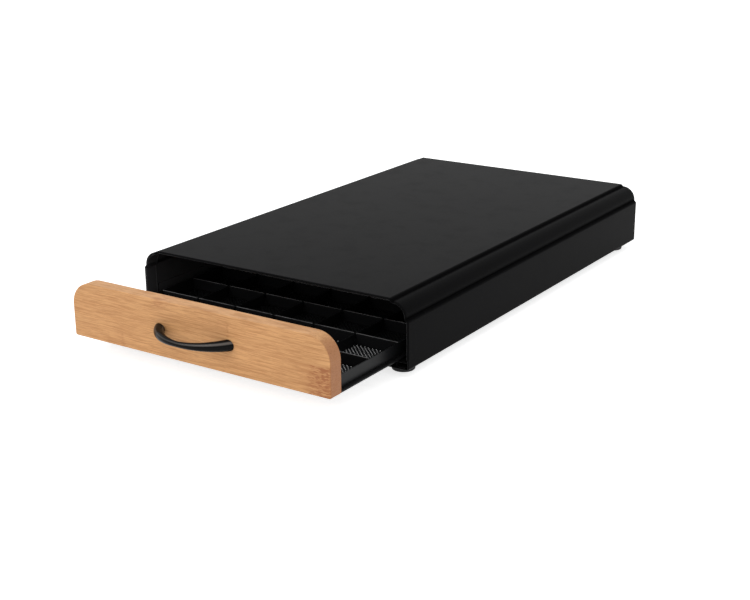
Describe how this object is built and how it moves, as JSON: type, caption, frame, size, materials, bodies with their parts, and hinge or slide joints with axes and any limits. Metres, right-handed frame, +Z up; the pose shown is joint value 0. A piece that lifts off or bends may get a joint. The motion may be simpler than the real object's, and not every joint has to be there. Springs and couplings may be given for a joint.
{
  "type": "coffee capsule drawer",
  "caption": "Low steel housing with a flat top and rounded shoulders, and a sliding drawer with a bamboo front, a bow handle and a divided, perforated tray for coffee capsules.",
  "frame": {"origin": "on the table top, under the middle of the whole object's box with the drawer open as it rests here", "axes": "+Z up, -Y the way the drawer pulls out, +X to the right of someone facing the front panel's back, the object being symmetric left to right"},
  "size_m": [0.254, 0.5114, 0.0595],
  "materials": {
    "housing_paint": "satin black powder coat",
    "tray_paint": "satin black paint on perforated sheet and thin strips",
    "bamboo": "laminated bamboo, clear matt lacquer, fine horizontal grain",
    "handle": "smooth gloss black",
    "rubber": "matt",
    "nylon": "moulded, fine texture",
    "screw": "black zinc"
  },
  "bodies": {
    "housing": {"housing_cover": "housing_paint", "base_plate": "housing_paint", "back_panel": "housing_paint", "runner_left": "housing_paint", "runner_right": "housing_paint", "keeper_left": "housing_paint", "keeper_right": "housing_paint", "drawer_stop_left": "nylon", "drawer_stop_right": "nylon", "rear_bumper_left": "rubber", "rear_bumper_right": "rubber", "foot_front_left": "rubber", "foot_front_right": "rubber", "foot_rear_left": "rubber", "foot_rear_right": "rubber", "foot_screw_front_left": "screw", "foot_screw_front_right": "screw", "foot_screw_rear_left": "screw", "foot_screw_rear_right": "screw", "base_screw_front_left": "screw", "base_screw_front_right": "screw", "base_screw_rear_left": "screw", "base_screw_rear_right": "screw"},
    "drawer": {"front_panel": "bamboo", "handle": "handle", "handle_screw_left": "screw", "handle_screw_right": "screw", "panel_screw_1": "screw", "panel_screw_2": "screw", "panel_screw_3": "screw", "panel_screw_4": "screw", "tray_floor": "tray_paint", "tray_side_left": "tray_paint", "tray_side_right": "tray_paint", "tray_front": "tray_paint", "tray_back": "tray_paint", "cross_divider_1": "tray_paint", "cross_divider_2": "tray_paint", "cross_divider_3": "tray_paint", "cross_divider_4": "tray_paint", "cross_divider_5": "tray_paint", "cross_divider_6": "tray_paint", "cross_divider_7": "tray_paint", "cross_divider_8": "tray_paint", "cross_divider_9": "tray_paint", "long_divider_1": "tray_paint", "long_divider_2": "tray_paint", "long_divider_3": "tray_paint", "long_divider_4": "tray_paint", "long_divider_5": "tray_paint"}
  },
  "joints": [
    {"name": "drawer_slide", "type": "slide", "parent": "housing", "child": "drawer", "axis": [0, -1, 0], "range_m": [-0.0863, 0.205]}
  ]
}
